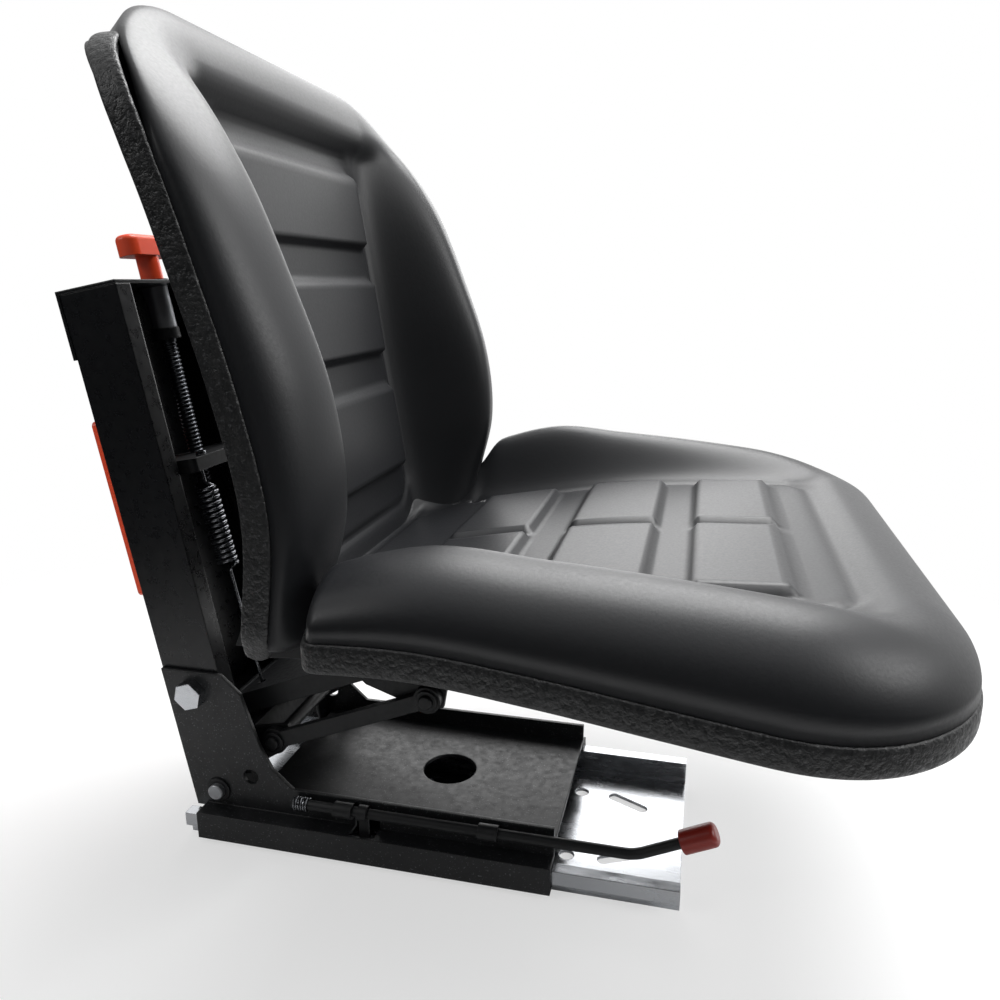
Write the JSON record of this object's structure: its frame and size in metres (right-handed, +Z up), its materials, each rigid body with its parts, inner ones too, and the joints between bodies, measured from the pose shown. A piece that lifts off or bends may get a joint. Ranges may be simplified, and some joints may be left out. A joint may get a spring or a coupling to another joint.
{
  "type": "tractor seat",
  "caption": "Black moulded vinyl tractor seat with bolsters on a rear sprung tower, weight adjuster knob and a fore-aft slide rail with latch lever.",
  "frame": {"origin": "centre of the lower rail's mounting face, on the seat's middle plane", "axes": "+X forward, the way the sitter faces; +Y to the sitter's left; +Z up"},
  "size_m": [0.5707, 0.46, 0.55],
  "materials": {
    "black_vinyl": "satin moulded vinyl over foam",
    "black_rubber": "rough textured",
    "black_paint": "semi-gloss",
    "black_plastic": "matt",
    "red_plastic": "satin",
    "red_vinyl": "dipped soft vinyl",
    "zinc_steel": "bright zinc plate",
    "spring_steel": "oiled spring wire"
  },
  "bodies": {
    "rail": {"lower_rail": "zinc_steel"},
    "base": {"slide_base": "black_paint", "slide_glides": "black_plastic", "rear_tower": "black_paint", "tower_cap": "black_paint", "tower_bolts": "zinc_steel", "tower_nuts": "zinc_steel", "foot_pin": "black_paint", "foot_clips": "spring_steel", "weight_scale": "red_plastic", "link_bracket": "black_paint", "bracket_bolts": "zinc_steel", "pivot_spacers": "black_plastic", "lower_pivot_pin": "zinc_steel", "upper_pivot_pin": "zinc_steel", "rear_pin_clips": "spring_steel", "adjuster_bush": "zinc_steel", "thrust_washer": "black_plastic", "lever_brackets": "black_paint", "lever_spring": "spring_steel", "main_spring_left": "spring_steel", "main_spring_right": "spring_steel"},
    "lower_links": {"lower_link_left": "black_paint", "lower_link_right": "black_paint"},
    "upper_link": {"upper_link": "black_paint"},
    "seat": {"seat_carrier": "black_paint", "lower_front_pin": "zinc_steel", "upper_front_pin": "zinc_steel", "front_pin_clips": "spring_steel", "seat_shell": "black_paint", "seat_nuts": "zinc_steel", "edge_trim": "black_rubber", "seat_cushion": "black_vinyl"},
    "adjuster": {"adjuster_screw": "zinc_steel", "screw_collar": "zinc_steel", "adjuster_knob": "red_plastic"},
    "yoke": {"spring_yoke": "black_paint"},
    "lever": {"lever_rod": "black_paint", "lever_cap": "red_vinyl", "latch_plate": "black_paint"}
  },
  "joints": [
    {"name": "fore_aft_slide", "type": "slide", "parent": "rail", "child": "base", "axis": [1, 0, 0], "range_m": [0, 0.085]},
    {"name": "suspension", "type": "hinge", "parent": "base", "child": "lower_links", "pos_m": [-0.118, 0, 0.075], "axis": [0, 1, 0], "range_deg": [0, 22], "stiffness_Nm_per_rad": 220, "springref_deg": -17.19, "deforming": ["main_spring_left", "main_spring_right"]},
    {"name": "seat_pivot", "type": "hinge", "parent": "lower_links", "child": "seat", "pos_m": [0.00262, 0, 0.12349], "axis": [0, 1, 0], "range_deg": [-22, 0]},
    {"name": "upper_link_pivot", "type": "hinge", "parent": "base", "child": "upper_link", "pos_m": [-0.16399, 0, 0.08975], "axis": [0, 1, 0], "range_deg": [0, 22], "deforming": ["main_spring_left", "main_spring_right"]},
    {"name": "adjuster_turn", "type": "hinge", "parent": "base", "child": "adjuster", "pos_m": [-0.20763, 0, 0.31966], "axis": [-0.1781, 0, 0.984], "range_deg": [0, 2880]},
    {"name": "yoke_slide", "type": "slide", "parent": "base", "child": "yoke", "axis": [-0.1781, 0, 0.984], "range_m": [0, 0.024], "deforming": ["main_spring_left", "main_spring_right"]},
    {"name": "lever_turn", "type": "hinge", "parent": "base", "child": "lever", "pos_m": [0, -0.0784, 0.04], "axis": [1, 0, 0], "range_deg": [0, 18], "stiffness_Nm_per_rad": 0.6, "springref_deg": -20.05, "deforming": ["lever_spring"]}
  ],
  "couplings": [
    {"joint": "seat_pivot", "follows": "suspension", "ratio": -1},
    {"joint": "upper_link_pivot", "follows": "suspension", "ratio": 1},
    {"joint": "adjuster_turn", "follows": "yoke_slide", "rad_per_m": 2094.4}
  ]
}
